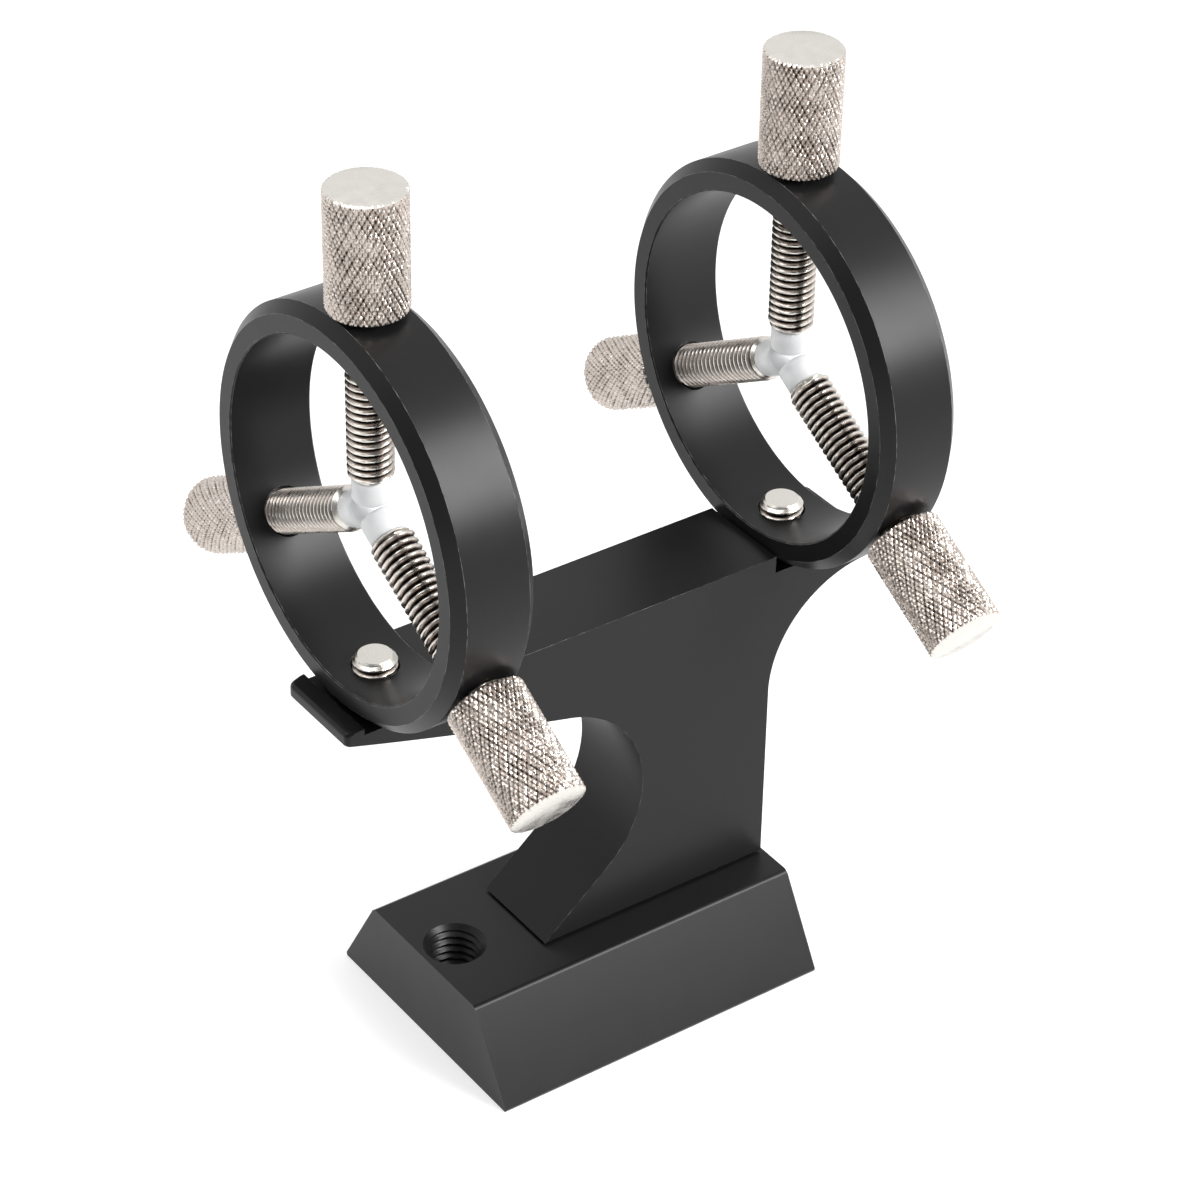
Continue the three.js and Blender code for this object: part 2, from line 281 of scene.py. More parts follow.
def nylon():
    """Milky natural nylon, faintly clouded."""
    material, tree, shader = new_material("nylon")
    cloud = noise(tree, 900, 3)
    colour = blend_colours(tree, cloud, (0.80, 0.81, 0.82), (0.92, 0.92, 0.925))
    tree.links.new(colour, shader.inputs["Base Color"])
    tree.links.new(spread(tree, cloud, 0.3, 0.45, 0.3, 0.7), shader.inputs["Roughness"])
    shader.inputs["Transmission Weight"].default_value = 0.35
    shader.inputs["IOR"].default_value = 1.5
    shader.inputs["Subsurface Weight"].default_value = 0.4
    shader.inputs["Subsurface Radius"].default_value = (0.002, 0.002, 0.002)
    bumps(tree, shader, [(noise(tree, 3500, 2), 0.12, 0.03)])
    return material


def black_steel():
    """Black oxide on screws: dark, slightly blue, rubbed at its edges."""
    material, tree, shader = new_material("black_steel")
    patches = noise(tree, 900, 4)
    ground = blend_colours(tree, patches, (0.03, 0.03, 0.034), (0.06, 0.058, 0.058))
    colour = blend_colours(tree, edge_mask(tree, 0.52, 0.6), ground, (0.25, 0.24, 0.23))
    tree.links.new(colour, shader.inputs["Base Color"])
    tree.links.new(spread(tree, patches, 0.32, 0.5, 0.3, 0.7), shader.inputs["Roughness"])
    shader.inputs["Metallic"].default_value = 0.9
    bumps(tree, shader, [(noise(tree, 4000, 2), 0.15, 0.02)])
    return material


def studio_floor():
    """A pale light table that glows a little, so that shadows on it stay faint."""
    material, tree, shader = new_material("studio_floor")
    tone = blend_colours(tree, noise(tree, 3, 2), (0.50, 0.50, 0.50), (0.52, 0.52, 0.52))
    tree.links.new(tone, shader.inputs["Base Color"])
    shader.inputs["Emission Color"].default_value = (1, 1, 1, 1)
    shader.inputs["Emission Strength"].default_value = FLOOR_GLOW
    shader.inputs["Roughness"].default_value = 0.8
    shader.inputs["Specular IOR Level"].default_value = 0.2
    return material


# ---------------------------------------------------------------- mesh helpers

def make_object(name, mesh, material, sharp_angle=32):
    """An object in the scene with smooth faces and sharp edges above an angle."""
    mesh.polygons.foreach_set("use_smooth", [True] * len(mesh.polygons))
    mesh.set_sharp_from_angle(angle=math.radians(sharp_angle))
    mesh.materials.clear()
    mesh.materials.append(material)
    made = bpy.data.objects.new(name, mesh)
    bpy.context.scene.collection.objects.link(made)
    return made


def mesh_from(name, verts, faces):
    """A mesh from points in millimetres, with its normals turned outwards."""
    mesh = bpy.data.meshes.new(name)
    mesh.from_pydata([Vector(v) * MM for v in verts], [], faces)
    work = bmesh.new()
    work.from_mesh(mesh)
    bmesh.ops.recalc_face_normals(work, faces=work.faces)
    work.to_mesh(mesh)
    work.free()
    return mesh


def revolve(profile, steps, closed=False):
    """Points and faces of (radius, height) pairs turned about +Z; an open profile gets end caps."""
    verts = [
        (r * math.cos(2 * math.pi * k / steps), r * math.sin(2 * math.pi * k / steps), z)
        for r, z in profile
        for k in range(steps)
    ]
    rows = len(profile)
    faces = []
    for row in range(rows if closed else rows - 1):
        a, b = row * steps, (row + 1) % rows * steps
        faces += [(a + k, a + (k + 1) % steps, b + (k + 1) % steps, b + k) for k in range(steps)]
    if not closed:
        faces.append(tuple(range(steps - 1, -1, -1)))
        faces.append(tuple(range((rows - 1) * steps, rows * steps)))
    return verts, faces


def threaded(profile_radius, depth, pitch, start, end, steps=60, rows_per_pitch=12):
    """Points and faces of a screw thread about +Z; profile_radius(z) caps the crest radius."""
    count = round((end - start) / pitch * rows_per_pitch)
    verts = []
    for row in range(count + 1):
        z = start + (end - start) * row / count
        for k in range(steps):
            phase = (z / pitch - k / steps) % 1.0
            ridge = min(1.0, max(0.0, 1.25 * (1 - abs(2 * phase - 1)) * 1.15 - 0.12))
            radius = min(profile_radius(z), profile_radius.outer - depth * (1 - ridge))
            angle = 2 * math.pi * k / steps
            verts.append((radius * math.cos(angle), radius * math.sin(angle), z))
    faces = []
    for row in range(count):
        a, b = row * steps, (row + 1) * steps
        faces += [(a + k, a + (k + 1) % steps, b + (k + 1) % steps, b + k) for k in range(steps)]
    faces.append(tuple(range(steps - 1, -1, -1)))
    faces.append(tuple(range(count * steps, (count + 1) * steps)))
    return verts, faces


def thread_tone(depth):
    """The groove value of a thread point: 0 on the crest, then darker down to the root at depth 1, as
    painted shade and partly dirt.
    """
    return min(1.0, 0.4 + 0.6 * depth) if depth > 0.12 else 0.0


class Cap:
    """The largest radius along a screw: full between its two chamfered ends."""

    def __init__(self, outer, start, end, start_chamfer=0.0, end_chamfer=0.0):
        self.outer = outer
        self.start, self.end = start, end
        self.start_chamfer, self.end_chamfer = start_chamfer, end_chamfer

    def __call__(self, z):
        near = self.outer - max(0.0, self.start_chamfer - (z - self.start))
        far = self.outer - max(0.0, self.end_chamfer - (self.end - z))
        return min(near, far)


def prism(outline, width):
    """An outline of (y, z) points given a thickness along X, centred on the YZ plane."""
    count = len(outline)
    verts = [(x, y, z) for x in (-width / 2, width / 2) for y, z in outline]
    faces = [tuple(range(count)), tuple(range(2 * count - 1, count - 1, -1))]
    faces += [(k, count + k, count + (k + 1) % count, (k + 1) % count) for k in range(count)]
    return verts, faces


def joined(*parts):
    """Several (verts, faces) lists as one."""
    verts, faces = [], []
    for part_verts, part_faces in parts:
        base = len(verts)
        verts += part_verts
        faces += [tuple(base + i for i in face) for face in part_faces]
    return verts, faces


def add_shell(made, verts, faces):
    """Adds a closed shell, given in millimetres, to an object's mesh."""
    extra = mesh_from("extra", verts, faces)
    work = bmesh.new()
    work.from_mesh(made.data)
    work.from_mesh(extra)
    work.to_mesh(made.data)
    work.free()
    bpy.data.meshes.remove(extra)


def applied(made):
    """Replaces an object's mesh by what its modifiers make of it."""
    bpy.context.view_layer.update()
    evaluated = made.evaluated_get(bpy.context.evaluated_depsgraph_get())
    mesh = bpy.data.meshes.new_from_object(evaluated)
    old = made.data
    made.modifiers.clear()
    made.data = mesh
    bpy.data.meshes.remove(old)
    return made


def carve(made, cutters):
    """Cuts each (mesh, matrix) out of an object."""
    for mesh, matrix in cutters:
        tool = bpy.data.objects.new("cutter", mesh)
        tool.matrix_world = matrix
        bpy.context.scene.collection.objects.link(tool)
        step = made.modifiers.new("cut", "BOOLEAN")
        step.operation = "DIFFERENCE"
        step.solver = "EXACT"
        step.object = tool
        applied(made)
        bpy.data.objects.remove(tool)
    return made


def soften(made, width, segments=3, angle=28, surface=None):
    """Rounds an object's edges, then settles its normals so that flats stay flat."""
    step = made.modifiers.new("soften", "BEVEL")
    step.width = width * MM
    step.segments = segments
    step.limit_method = "ANGLE"
    step.angle_limit = math.radians(angle)
    step.use_clamp_overlap = True
    step.harden_normals = False
    step.material = 1
    made.data.materials.append(made.data.materials[0])
    applied(made)
    drop_slivers(made.data)
    mark_wear_and_highlight(made.data)
    settle_normals(made.data, surface)
    return made


def drop_slivers(mesh, length=0.004):
    """Closes up edges too short to see, in millimetres, and the empty faces beside them."""
    work = bmesh.new()
    work.from_mesh(mesh)
    bmesh.ops.remove_doubles(work, verts=work.verts, dist=length * MM)
    bmesh.ops.dissolve_degenerate(work, edges=work.edges, dist=length * MM)
    work.to_mesh(mesh)
    work.free()


def mark_wear_and_highlight(mesh):
    """Stores 1 at the corners of rounded edge faces, which carry the second material slot until now; the
    anodising paints these edges lighter, as wear and as a painted highlight.
    """
    layer = mesh.attributes.new("wear_and_highlight", "FLOAT", "CORNER")
    for face in mesh.polygons:
        for corner in face.loop_indices:
            layer.data[corner].value = float(face.material_index)
        face.material_index = 0
    mesh.materials.pop()


def settle_normals(mesh, surface=None, mix_angle=36):
    """Gives each face corner the normal of the surface it lies on.

    Where surface(point, face) knows no exact normal, the corner takes the area-weighted mean of the
    faces that meet there at less than mix_angle.
    """
    limit = math.cos(math.radians(mix_angle))
    faces_at = [[] for _ in mesh.vertices]
    for face in mesh.polygons:
        for index in face.vertices:
            faces_at[index].append(face)
    normals = []
    for face in mesh.polygons:
        for index in face.vertices:
            exact = surface(mesh.vertices[index].co, face) if surface else None
            if exact is None:
                near = [f for f in faces_at[index] if f.normal.dot(face.normal) > limit]
                exact = sum((f.normal * f.area for f in near), Vector()).normalized()
            normals.append(exact)
    mesh.polygons.foreach_set("use_smooth", [True] * len(mesh.polygons))
    mesh.normals_split_custom_set(normals)


def upright(x, y, z):
    """A shift by millimetres, with local +Z still up."""
    return Matrix.Translation(Vector((x, y, z)) * MM)


def radial(centre, angle_deg, spin_deg=0):
    """Local +Z points outwards from a ring's centre, in the XZ plane."""
    angle = math.radians(angle_deg)
    outwards = Vector((math.cos(angle), 0, math.sin(angle)))
    turn = Vector((0, 0, 1)).rotation_difference(outwards).to_matrix().to_4x4()
    return Matrix.Translation(centre) @ turn @ Matrix.Rotation(math.radians(spin_deg), 4, "Z")


def arc(centre, radius, start_deg, end_deg, steps):
    """Points on an arc, both ends included."""
    angles = [math.radians(start_deg + (end_deg - start_deg) * k / steps) for k in range(steps + 1)]
    return [(centre[0] + radius * math.cos(a), centre[1] + radius * math.sin(a)) for a in angles]


def place(made, body, slot, *nodes):
    """Puts a piece on its body in the place of its CAD nodes."""
    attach(made, body)
    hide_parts(*nodes)


# ---------------------------------------------------------------- foot and arm

def foot_section():
    """The foot's cross-section as (x, z) points, with its long edges broken."""
    low, high, edge = FOOT_BOTTOM_WIDTH / 2, FOOT_TOP_WIDTH / 2, FOOT_EDGE
    slope = (low - high) / FOOT_HEIGHT
    half = [
        (low - edge, 0),
        (low - edge * slope, edge),
        (high + edge * slope, FOOT_HEIGHT - edge),
        (high - edge, FOOT_HEIGHT),
    ]
    return half + [(-x, z) for x, z in reversed(half)]


def stop_hole_cutter():
    """The thread of the foot's tapped hole, from end to end."""
    start, end = -1, FOOT_HEIGHT + 1
    depth = STOP_HOLE_MAJOR - STOP_HOLE_MINOR
    middle = threaded(Cap(STOP_HOLE_MAJOR, start, end), depth, STOP_HOLE_PITCH, start, end)
    return mesh_from("stop_hole", *middle)


def countersink_cutter(at_top):
    """A cone that opens the hole out to its rim, run on past the surface and past the thread."""
    lead = STOP_HOLE_RIM - STOP_HOLE_MINOR
    rim, past = STOP_HOLE_RIM + 1, 0.4
    if at_top:
        profile = [(STOP_HOLE_MINOR - past, FOOT_HEIGHT - lead - past), (rim, FOOT_HEIGHT + 1)]
    else:
        profile = [(rim, -1), (STOP_HOLE_MINOR - past, lead + past)]
    return mesh_from("countersink", *revolve(profile, 64))


def foot(material):
    """The dovetail foot with its tapped stop hole and the bores for the arm's two screws."""
    half = FOOT_LENGTH / 2
    section = foot_section()
    count = len(section)
    verts = [(x, y, z) for y in (-half, half) for x, z in section]
    faces = [tuple(range(count - 1, -1, -1)), tuple(range(count, 2 * count))]
    faces += [(k, (k + 1) % count, count + (k + 1) % count, count + k) for k in range(count)]
    made = make_object("foot", mesh_from("foot", verts, faces), material)
    cutters = [
        (stop_hole_cutter(), upright(0, STOP_HOLE_Y, 0)),
        (countersink_cutter(True), upright(0, STOP_HOLE_Y, 0)),
        (countersink_cutter(False), upright(0, STOP_HOLE_Y, 0)),
    ]
    wide, narrow = FOOT_SCREW_HEAD_RADIUS + SCREW_CLEARANCE, FOOT_SCREW_RADIUS + SCREW_CLEARANCE
    step = FOOT_SCREW_HEAD_TOP_Z + 0.1
    bore = [(wide, -1), (wide, step), (narrow, step), (narrow, FOOT_HEIGHT + 1)]
    for y in FOOT_SCREWS.values():
        cutters.append((mesh_from("screw_bore", *revolve(bore, 48)), upright(0, y, 0)))
    carve(made, cutters)
    soften(made, FOOT_SOFTENING, 2, 35)
    place(made, "bracket", "black_anodised", "dovetail_foot")


def arm_outline():
    """The arm's outline as (y, z) points, anticlockwise seen from +X."""
    half = SLOT_WIDTH / 2
    front, rear = ring_centre("front").y / MM, ring_centre("rear").y / MM
    back_arc_y = ARM_BACK_Y + BACK_ARC_RADIUS
    stop = math.degrees(math.acos(-(back_arc_y - ARM_END_Y) / BACK_ARC_RADIUS))
    bottom = FOOT_HEIGHT + SEAT_GAP
    points = [(ARM_TOE_Y, bottom), (ARM_BACK_Y, bottom)]
    points += arc((back_arc_y, BACK_ARC_Z), BACK_ARC_RADIUS, 180, stop, 40)
    points += [
        (ARM_END_Y, LIP_TOP_Z),
        (rear + half, LIP_TOP_Z),
        (rear + half, SLOT_FLOOR_Z),
        (rear - half, SLOT_FLOOR_Z),
        (rear - half, ARM_TOP_Z),
        (front + half, ARM_TOP_Z),
        (front + half, SLOT_FLOOR_Z),
        (front - half, SLOT_FLOOR_Z),
        (front - half, LIP_TOP_Z),
        (-ARM_END_Y, LIP_TOP_Z),
        (-ARM_END_Y, TIP_UNDERSIDE_Z),
    ]
    cut = arc(CUT_CENTRE, CUT_RADIUS, CUT_END, CUT_START, 64)
    tip, bend, join = (-ARM_END_Y, TIP_UNDERSIDE_Z), BEAM_CONTROL, cut[0]
    for k in range(1, 24):
        t = k / 24
        points.append(tuple(
            (1 - t) ** 2 * tip[i] + 2 * t * (1 - t) * bend[i] + t * t * join[i] for i in range(2)
        ))
    return points + cut


def arm_seat():
    """The inset pad under the arm that rests on the foot, so that a thin shadow line runs round it."""
    start, end = ARM_TOE_Y + SEAT_INSET, ARM_BACK_Y - SEAT_INSET
    top = FOOT_HEIGHT + 2 * SEAT_GAP
    outline = [(start, FOOT_HEIGHT), (end, FOOT_HEIGHT), (end, top), (start, top)]
    return prism(outline, ARM_WIDTH - 2 * SEAT_INSET)


def round_lip_corners(made):
    """Rounds the upright corners of both lips in plan, the left ones more."""
    reach = (ARM_END_Y - 0.01) * MM
    for side, radius in ((-1, LIP_FAR_CORNER), (1, LIP_NEAR_CORNER)):
        work = bmesh.new()
        work.from_mesh(made.data)
        edges = [
            e for e in work.edges
            if all(abs(v.co.y) > reach and v.co.x * side > 0 for v in e.verts)
            and abs(e.verts[0].co.z - e.verts[1].co.z) > 0.5 * MM
        ]
        bmesh.ops.bevel(work, geom=edges, offset=radius * MM, segments=6, profile=0.5, affect="EDGES")
        work.to_mesh(made.data)
        work.free()
    work = bmesh.new()
    work.from_mesh(made.data)
    outer = (ARM_END_Y - LIP_FAR_CORNER - 0.01) * MM
    edges = [
        e for e in work.edges
        if all(abs(v.co.y) > outer and abs(v.co.z - LIP_TOP_Z * MM) < 0.01 * MM for v in e.verts)
    ]
    bmesh.ops.bevel(work, geom=edges, offset=LIP_TOP_ROUND * MM, segments=4, profile=0.5, affect="EDGES")
    work.to_mesh(made.data)
    work.free()


def arm(material):
    """The plate arm with a countersunk pocket for each ring's screw."""
    made = make_object("plate_arm", mesh_from("plate_arm", *prism(arm_outline(), ARM_WIDTH)), material)
    round_lip_corners(made)
    add_shell(made, *arm_seat())
    wide, narrow = RING_SCREW_HEAD_RADIUS + POCKET_CLEARANCE, RING_SCREW_RADIUS + POCKET_CLEARANCE
    land = RING_SCREW_BOTTOM_Z + POCKET_LAND
    pocket = [
        (wide, RING_SCREW_BOTTOM_Z - BACK_ARC_RADIUS),
        (wide, land),
        (narrow, land + RING_SCREW_HEAD_RADIUS - RING_SCREW_RADIUS),
        (narrow, SLOT_FLOOR_Z + 1),
    ]
    cutters = [
        (mesh_from("pocket", *revolve(pocket, 64)), upright(0, ring_centre(name).y / MM, 0))
        for name in ("front", "rear")
    ]
    carve(made, cutters)
    soften(made, ARM_EDGE, 3, 35)
    place(made, "bracket", "black_anodised", "arm")


# ---------------------------------------------------------------- rings

def ring_centre(name):
    """The middle of a ring in metres."""
    low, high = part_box(f"{name}_ring")
    return (low + high) / 2


def ring_surface(outer):
    """The exact normal at a point of a ring about its own Y axis, for faces on the turned surfaces."""
    near = 0.05

    def surface(point, face):
        centre = Vector((face.center.x, 0, face.center.z))
        out = centre.normalized()
        here = Vector((point.x, 0, point.z)).normalized()
        lean, away = face.normal.dot(out), abs(face.normal.y)
        radius = centre.length / MM
        if away > 0.9995:
            return Vector((0, math.copysign(1, face.normal.y), 0))
        if abs(lean) > 0.9995 and abs(radius - outer) < near:
            return here
        if abs(lean) > 0.9995 and abs(radius - RING_BORE_RADIUS) < near:
            return -here
        if abs(away - math.sqrt(0.5)) < 0.002 and abs(lean - math.sqrt(0.5)) < 0.002:
            return (here + Vector((0, math.copysign(1, face.normal.y), 0))).normalized()
        return None

    return surface


def ring(name, material):
    """A ring with three thumbscrew holes and one below for the screw that holds it."""
    low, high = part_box(f"{name}_ring")
    outer, half = (high.x - low.x) / 2 / MM, (high.y - low.y) / 2 / MM
    bore, edge, bevel = RING_BORE_RADIUS, RING_BORE_CHAMFER, RING_OUTER_CHAMFER
    loop = [
        (bore, -half + edge),
        (bore + edge, -half),
        (outer - bevel, -half),
        (outer, -half + bevel),
        (outer, half - bevel),
        (outer - bevel, half),
        (bore + edge, half),
        (bore, half - edge),
    ]
    mesh = mesh_from(f"{name}_ring", *revolve(loop, RING_STEPS, closed=True))
    mesh.transform(Matrix.Rotation(math.radians(90), 4, "X"))
    made = make_object(f"{name}_ring_body", mesh, material)
    hole = [
        (SHANK_RADIUS + BORE_MOUTH, bore - 2),
        (SHANK_RADIUS + BORE_MOUTH, bore - 0.2),
        (SHANK_RADIUS + THREAD_CLEARANCE, bore + 0.1),
        (SHANK_RADIUS + THREAD_CLEARANCE, outer - 0.2),
        (SHANK_RADIUS + OUTER_MOUTH, outer + 0.1),
        (SHANK_RADIUS + OUTER_MOUTH, outer + 2),
    ]
    cutters = [
        (mesh_from("screw_hole", *revolve(hole, 64)), radial(Vector(), angle))
        for angle in (*THUMBSCREWS.values(), 270)
    ]
    carve(made, cutters)
    soften(made, RING_SOFTENING, 2, 25, ring_surface(outer))
    made.matrix_world = Matrix.Translation(ring_centre(name))
    place(made, "bracket", "black_anodised", f"{name}_ring")


# ---------------------------------------------------------------- thumbscrews

def unevenness(a, b):
    """A repeatable value from 0 to 1 for a pair of whole numbers."""
    return (math.sin(a * 12.9898 + b * 78.233) * 43758.5453) % 1.0


def knurl_depth(u, other):
    """How far a groove family cuts in, 1 at its bottom, for distances in pitches along both families.

    A fine groove runs midway between each pair of main ones, as on a head rolled twice.
    """
    main = max(0.0, 1 - abs(u - round(u)) / KNURL_GROOVE)
    main *= 0.8 + 0.2 * unevenness(round(u), round(other * 2))
    shifted = u - 0.5
    fine = max(0.0, 1 - abs(shifted - round(shifted)) / FINE_GROOVE)
    fine *= FINE_DEPTH * (0.55 + 0.45 * unevenness(round(shifted) + 60, round(other * 2)))
    return max(main, fine)


def rounded_end(distance):
    """How far the head's radius is drawn in at a distance from its nearer end."""
    left = max(0.0, HEAD_ROUND - distance)
    return HEAD_ROUND - math.sqrt(HEAD_ROUND ** 2 - left ** 2)


def rolling_pressure(angle, z):
    """How hard the knurl is pressed in at a place on the head, from 0.56 to 1."""
    return 0.78 + 0.22 * math.sin(3 * angle + 0.9 * z) * math.sin(2 * angle - 0.6 * z)


def knurled_head():
    """Points, faces and groove values of the knurled head, meshed along both groove families."""
    around = KNURL_COUNT * KNURL_STEPS
    rows = 2 * round((HEAD_END - HEAD_START) / KNURL_HEIGHT * KNURL_STEPS / 2)
    verts, grooves, number = [], [], {}
    for j in range(rows + 1):
        z = HEAD_START + (HEAD_END - HEAD_START) * j / rows
        distance = min(z - HEAD_START, HEAD_END - z)
        cap = HEAD_RADIUS - rounded_end(distance)
        for i in range(j % 2, around, 2):
            u, v = (i + j) / KNURL_STEPS, (i - j) / KNURL_STEPS
            shallow, deep = sorted((knurl_depth(u, v), knurl_depth(v, u)))
            angle = 2 * math.pi * i / around
            pressure = rolling_pressure(angle, z)
            radius = min(HEAD_RADIUS - KNURL_DEPTH * pressure * deep, cap)
            number[i, j] = len(verts)
            verts.append((radius * math.cos(angle), radius * math.sin(angle), z))
            rolled = distance > HEAD_ROUND * 0.35
            # Groove values, highest where two grooves cross, darken the nickel as painted shade and dirt.
            grooves.append(0.3 + 0.3 * deep + 0.5 * pressure * shallow if rolled else 0.0)
    faces = []
    for j in range(rows + 1):
        for i in range((j + 1) % 2, around, 2):
            ring_of = [((i - 1) % around, j), (i, j - 1), ((i + 1) % around, j), (i, j + 1)]
            corners = [number[key] for key in ring_of if key in number]
            faces.append(tuple(corners))
    faces.append(tuple(number[i, 0] for i in range(0, around, 2)))
    faces.append(tuple(number[i, rows] for i in range(rows % 2, around, 2)))
    return verts, faces, grooves


def thumbscrew_mesh():
    """One thumbscrew along local +Z, measured from the ring axis."""
    head_verts, head_faces, grooves = knurled_head()
    shank = threaded(
        Cap(SHANK_RADIUS, SHANK_START, HEAD_START + 1, start_chamfer=0.45),
        THREAD_DEPTH,
        THREAD_PITCH,
        SHANK_START,
        HEAD_START + 1,
    )
    verts, faces = joined((head_verts, head_faces), shank)
    for x, y, z in shank[0]:
        depth = (SHANK_RADIUS - math.hypot(x, y)) / THREAD_DEPTH
        grooves.append(thread_tone(depth) if z > SHANK_START + 0.5 else 0.0)
    mesh = mesh_from("thumbscrew", verts, faces)
    layer = mesh.attributes.new("groove", "FLOAT", "POINT")
    layer.data.foreach_set("value", grooves)
    return mesh


def tip_mesh():
    """One nylon tip along local +Z, measured from the ring axis."""
    corner = arc((TIP_RADIUS - TIP_CHAMFER, TIP_START + TIP_CHAMFER), TIP_CHAMFER, -90, 0, 6)
    profile = corner + [(TIP_RADIUS, TIP_SHOULDER - 0.15), (TIP_RADIUS - 0.15, TIP_SHOULDER)]
    return mesh_from("tip", *revolve(profile, 48))


def thumbscrews(metal, plastic):
    """All six thumbscrews with their tips, each turned to its own angle about its axis."""
    screw_mesh, pad_mesh = thumbscrew_mesh(), tip_mesh()
    for turn, ring_name in enumerate(("front", "rear")):
        centre = ring_centre(ring_name)
        for count, (side, angle) in enumerate(THUMBSCREWS.items()):
            spin = 37 * count + 101 * turn
            screw = make_object(f"{ring_name}_{side}_knurled_screw", screw_mesh, metal, 24)
            screw.matrix_world = radial(centre, angle, spin)
            place(screw, f"{ring_name}_{side}_screw", "nickel", f"{ring_name}_thumbscrew_{side}")
            pad = make_object(f"{ring_name}_{side}_nylon_pad", pad_mesh, plastic, 50)
            pad.matrix_world = radial(centre, angle, spin)
            place(pad, f"{ring_name}_{side}_pad", "nylon", f"{ring_name}_tip_{side}")


# ---------------------------------------------------------------- fixed screws

def socket_head(profile, bottom, steps=60):
    """A screw head about +Z from (radius, height) pairs, with a hexagon socket in its underside."""
    sides = 6
    verts, faces = revolve([(1, 0), (1, 0), *profile], steps)
    for row, z in enumerate((bottom + HEX_DEPTH, bottom)):
        for k in range(steps):
            corner = 2 * math.pi / sides
            angle = 2 * math.pi * k / steps
            flat = HEX_RADIUS * math.cos(corner / 2) / math.cos(angle % corner - corner / 2)
            verts[row * steps + k] = (flat * math.cos(angle), flat * math.sin(angle), z)
    return verts, faces


def with_groove_values(made, outer, depth, start, end):
    """Stores how deep each thread point lies below the crest, between two heights."""
    values = []
    for v in made.data.vertices:
        below = (outer * MM - math.hypot(v.co.x, v.co.y)) / (depth * MM)
        values.append(thread_tone(below) if start < v.co.z / MM < end else 0.0)
    layer = made.data.attributes.new("groove", "FLOAT", "POINT")
    layer.data.foreach_set("value", values)


def ring_screw(name, material):
    """A countersunk screw whose chamfered end stands in the ring's bore."""
    centre = ring_centre(name)
    end = centre.z / MM - RING_BORE_RADIUS + RING_SCREW_STAND_OUT
    land = RING_SCREW_BOTTOM_Z + 0.2
    cone_top = land + RING_SCREW_HEAD_RADIUS - RING_SCREW_RADIUS
    head = socket_head([
        (RING_SCREW_HEAD_RADIUS - 0.1, RING_SCREW_BOTTOM_Z),
        (RING_SCREW_HEAD_RADIUS, RING_SCREW_BOTTOM_Z + 0.1),
        (RING_SCREW_HEAD_RADIUS, land),
        (RING_SCREW_RADIUS - 0.4, cone_top + 0.4),
    ], RING_SCREW_BOTTOM_Z)
    chamfer = RING_SCREW_RADIUS - RING_SCREW_POINT_RADIUS
    body = threaded(
        Cap(RING_SCREW_RADIUS, cone_top - 0.6, end, end_chamfer=chamfer),
        THREAD_DEPTH,
        THREAD_PITCH,
        cone_top - 0.6,
        end,
    )
    made = make_object(f"{name}_ring_fixing_screw", mesh_from("ring_screw", *joined(head, body)), material)
    with_groove_values(made, RING_SCREW_RADIUS, THREAD_DEPTH, cone_top, end - chamfer)
    made.data.set_sharp_from_angle(angle=math.radians(24))
    made.matrix_world = Matrix.Translation(Vector((0, centre.y, 0)))
    place(made, "bracket", "nickel", f"{name}_ring_screw")


def foot_screw(name, y, material):
    """A socket cap screw sunk in the underside of the foot."""
    top, bottom, radius = FOOT_SCREW_HEAD_TOP_Z, FOOT_SCREW_BOTTOM_Z, FOOT_SCREW_HEAD_RADIUS
    head = socket_head([
        (radius - 0.35, bottom),
        (radius, bottom + 0.35),
        (radius, top - 0.1),
        (radius - 0.1, top),
    ], bottom)
    body = threaded(
        Cap(FOOT_SCREW_RADIUS, top - 0.5, FOOT_SCREW_END_Z, end_chamfer=0.4),
        FOOT_SCREW_THREAD,
        FOOT_SCREW_PITCH,
        top - 0.5,
        FOOT_SCREW_END_Z,
        steps=40,
        rows_per_pitch=8,
    )
    made = make_object(f"foot_fixing_screw_{name}", mesh_from("foot_screw", *joined(head, body)), material)
    made.data.set_sharp_from_angle(angle=math.radians(30))
    made.matrix_world = upright(0, y, 0)
    place(made, "bracket", "black_steel", f"foot_screw_{name}")


# ---------------------------------------------------------------- stage

def add_camera():
    """The camera, placed by azimuth, elevation, roll and distance about its target."""
    a, e, roll = (math.radians(v) for v in (CAMERA_AZIMUTH, CAMERA_ELEVATION, CAMERA_ROLL))
    back = Vector((math.sin(a) * math.cos(e), -math.cos(a) * math.cos(e), math.sin(e)))
    side = Vector((math.cos(a), math.sin(a), 0))
    up = back.cross(side)
    right = math.cos(roll) * side + math.sin(roll) * up
    top = math.cos(roll) * up - math.sin(roll) * side
    data = bpy.data.cameras.new("camera")
    data.sensor_width = SENSOR
    data.lens = CAMERA_LENS
    data.clip_start, data.clip_end = 0.01, 20
    camera = bpy.data.objects.new("camera", data)
    bpy.context.scene.collection.objects.link(camera)
    turn = Matrix((right, top, back)).transposed().to_4x4()
    camera.matrix_world = Matrix.Translation((CAMERA_TARGET + back * CAMERA_DISTANCE) * MM) @ turn
    bpy.context.scene.camera = camera


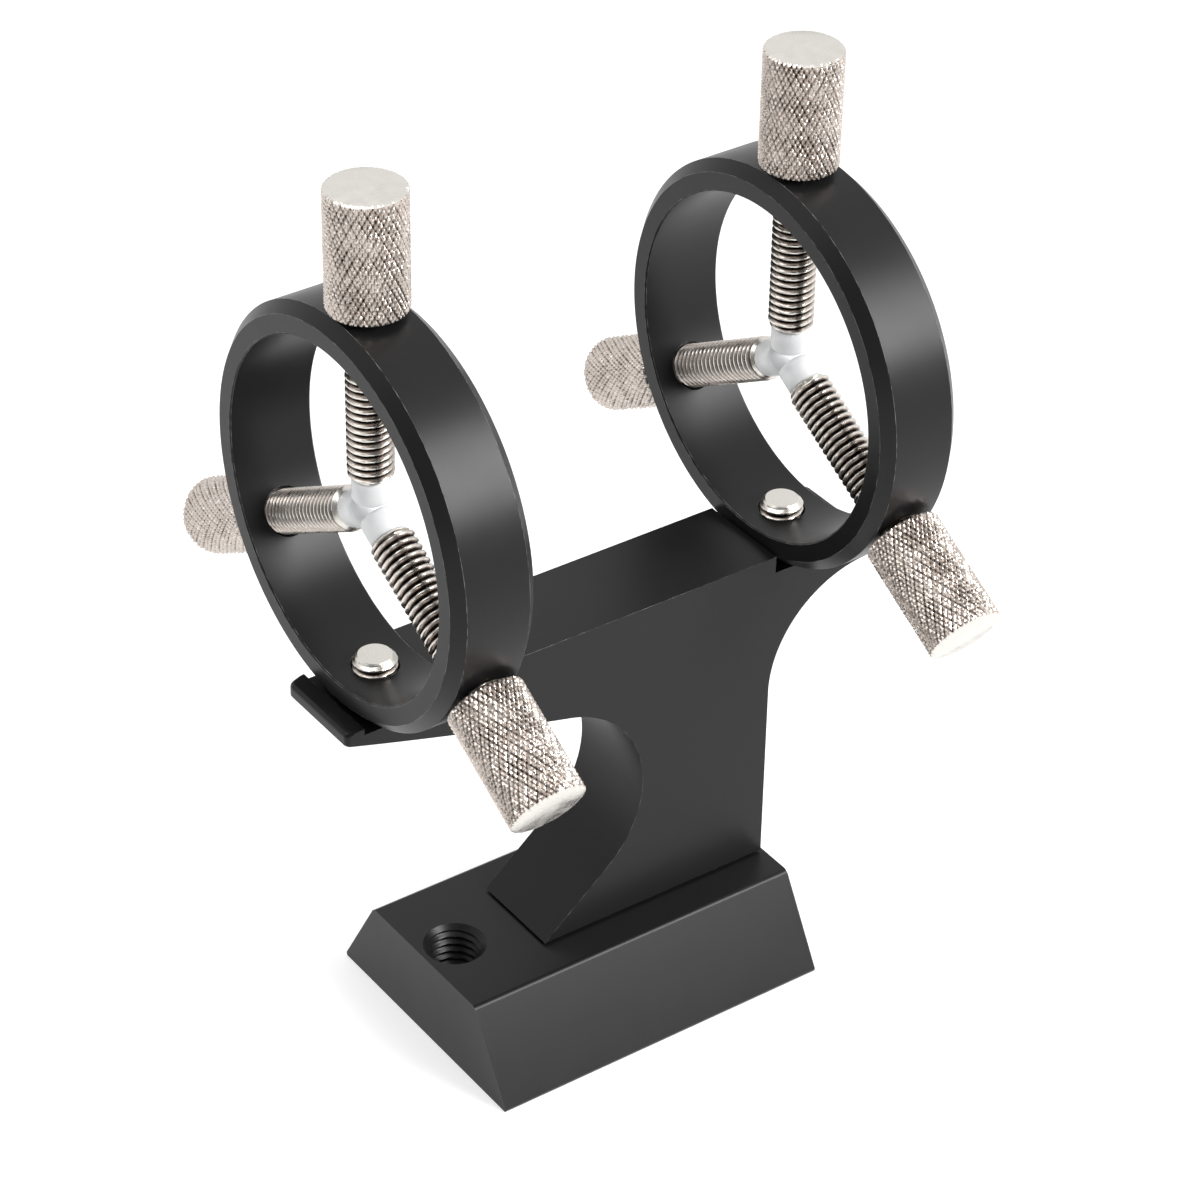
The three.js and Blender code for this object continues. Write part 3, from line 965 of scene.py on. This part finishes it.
def add_softbox(name, place_at, aim_height, size, power, spread_deg):
    """A rectangular area light at a point in metres that faces the object's axis at a height."""
    data = bpy.data.lights.new(name, "AREA")
    data.shape = "RECTANGLE"
    data.size, data.size_y = size
    data.energy = power
    data.spread = math.radians(spread_deg)
    lamp = bpy.data.objects.new(name, data)
    bpy.context.scene.collection.objects.link(lamp)
    lamp.location = place_at
    aim = Vector(place_at) - Vector((0, 0, aim_height))
    lamp.rotation_mode = "QUATERNION"
    lamp.rotation_quaternion = aim.to_track_quat("Z", "Y")


def add_floor():
    half, low = FLOOR_HALF, -FLOOR_THICKNESS
    outline = [(-half, low), (half, low), (half, 0), (-half, 0)]
    made = make_object("floor", mesh_from("floor", *prism(outline, 2 * half)), studio_floor())


def add_room():
    """White surroundings that light the object evenly, dimmer on one side."""
    world = bpy.data.worlds.new("world")
    bpy.context.scene.world = world
    world.use_nodes = True
    tree = world.node_tree
    ground = tree.nodes["Background"]
    ground.inputs["Color"].default_value = (1, 1, 1, 1)
    direction = tree.nodes.new("ShaderNodeTexCoord").outputs["Generated"]
    towards = tree.nodes.new("ShaderNodeVectorMath")
    towards.operation = "DOT_PRODUCT"
    towards.inputs[1].default_value = Vector(DARK_SIDE).normalized()
    tree.links.new(direction, towards.inputs[0])
    edge, core = (math.cos(math.radians(angle)) for angle in (DARK_SIDE_EDGE, DARK_SIDE_CORE))
    level = spread(tree, towards.outputs["Value"], 1.0, DARK_SIDE_LEVEL, edge, core)
    tree.links.new(level, ground.inputs["Strength"])


def add_stage():
    add_floor()
    add_room()
    for name, settings in SOFTBOXES.items():
        add_softbox(name, *settings)
    bpy.context.scene.view_settings.view_transform = "Standard"


# ---------------------------------------------------------------- the object

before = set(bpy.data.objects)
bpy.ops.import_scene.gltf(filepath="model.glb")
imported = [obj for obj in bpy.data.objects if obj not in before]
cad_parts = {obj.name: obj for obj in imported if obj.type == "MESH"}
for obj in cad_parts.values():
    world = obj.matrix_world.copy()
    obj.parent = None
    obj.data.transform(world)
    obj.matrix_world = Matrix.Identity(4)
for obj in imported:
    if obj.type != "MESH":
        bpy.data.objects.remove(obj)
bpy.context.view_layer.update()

anodised, plated, plastic, oxide = black_anodised(), nickel(), nylon(), black_steel()
foot(anodised)
arm(anodised)
for ring_name in ("front", "rear"):
    ring(ring_name, anodised)
    ring_screw(ring_name, plated)
thumbscrews(plated, plastic)
for screw_name, screw_y in FOOT_SCREWS.items():
    foot_screw(screw_name, screw_y, oxide)

add_camera()
add_stage()
